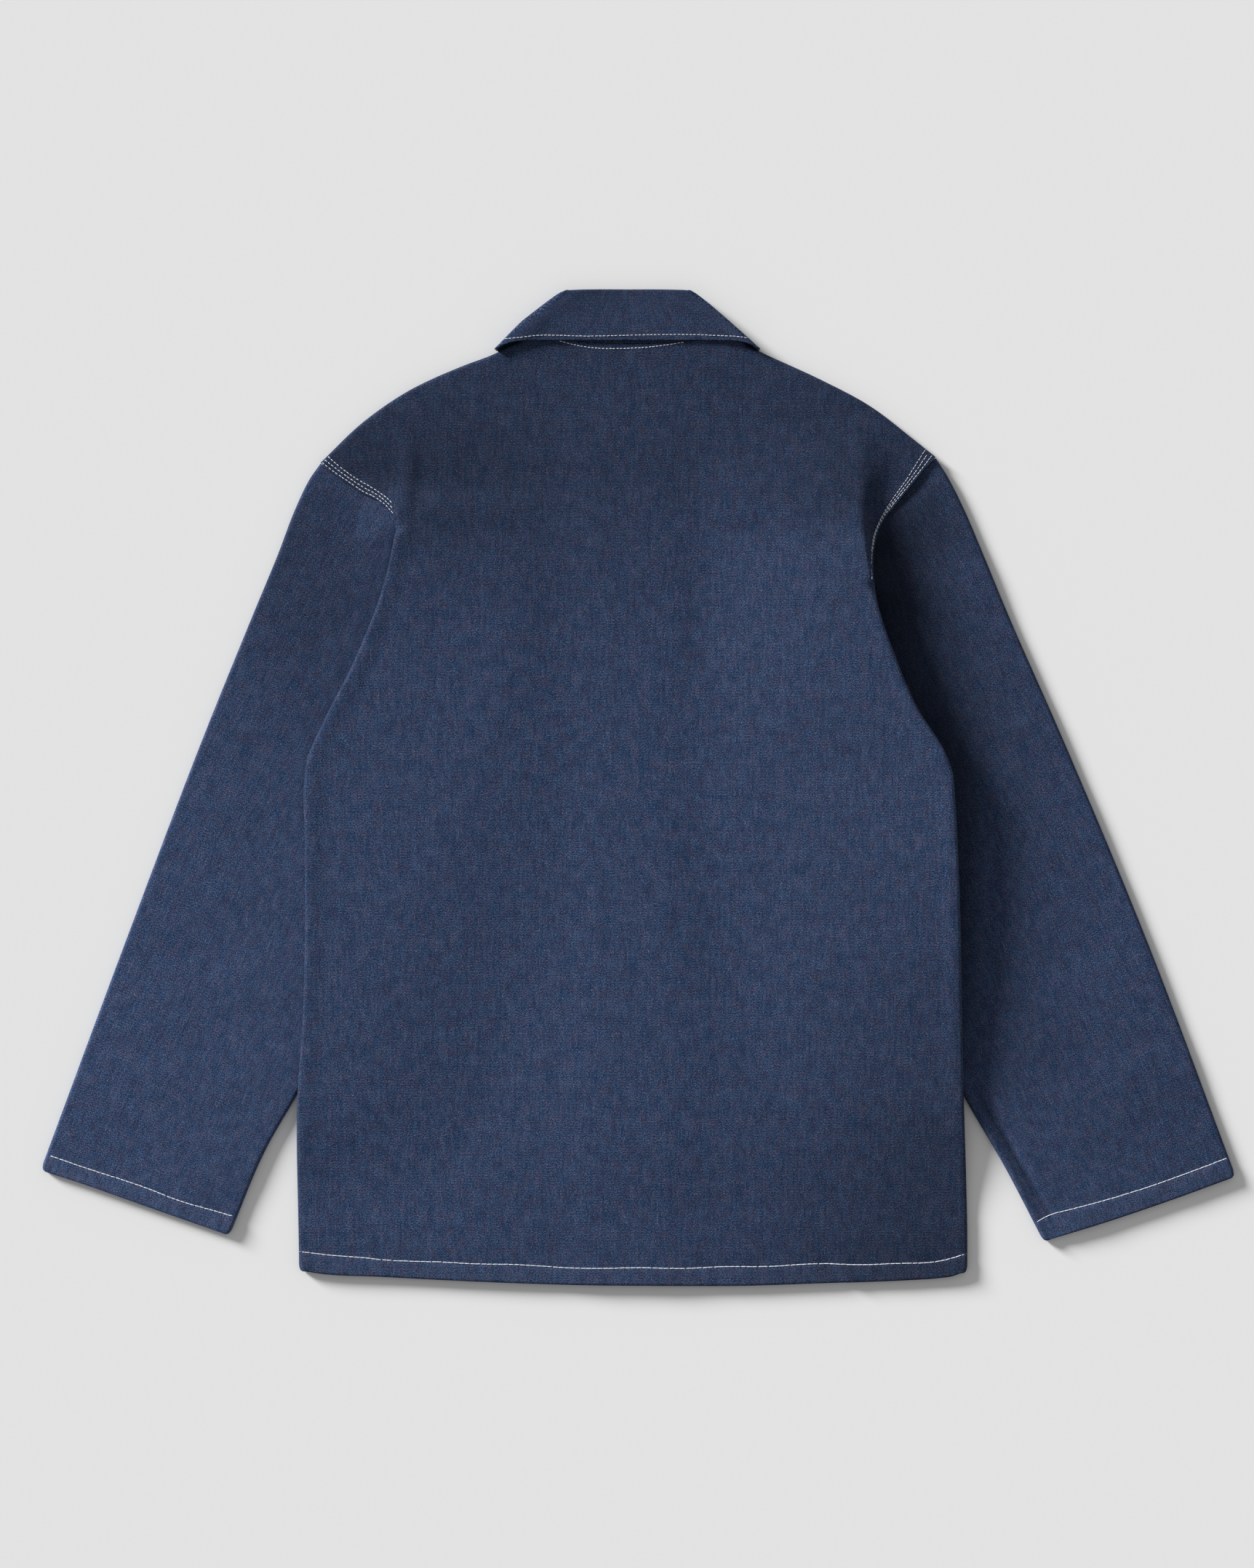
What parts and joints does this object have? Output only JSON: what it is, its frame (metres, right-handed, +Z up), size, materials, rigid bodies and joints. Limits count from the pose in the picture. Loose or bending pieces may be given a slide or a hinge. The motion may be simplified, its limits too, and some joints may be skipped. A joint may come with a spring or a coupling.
{
  "type": "chore jacket laid flat on its front",
  "caption": "Button-front chore jacket of raw indigo denim, laid flat on its front with its back up, collar folded and both sleeves spread.",
  "frame": {"origin": "on the surface that the jacket lies on, under the middle of its outline", "axes": "+X towards the right sleeve, +Y towards the collar, +Z up out of the back"},
  "size_m": [0.937, 0.7817, 0.0242],
  "materials": {
    "denim": "matte raw indigo twill",
    "button_metal": "dull"
  },
  "bodies": {
    "root": {"back": "denim", "front_left": "denim", "front_right": "denim", "sleeve_left": "denim", "sleeve_right": "denim", "collar": "denim", "button_1": "button_metal", "button_2": "button_metal", "button_3": "button_metal", "button_4": "button_metal", "button_5": "button_metal"}
  },
  "joints": []
}
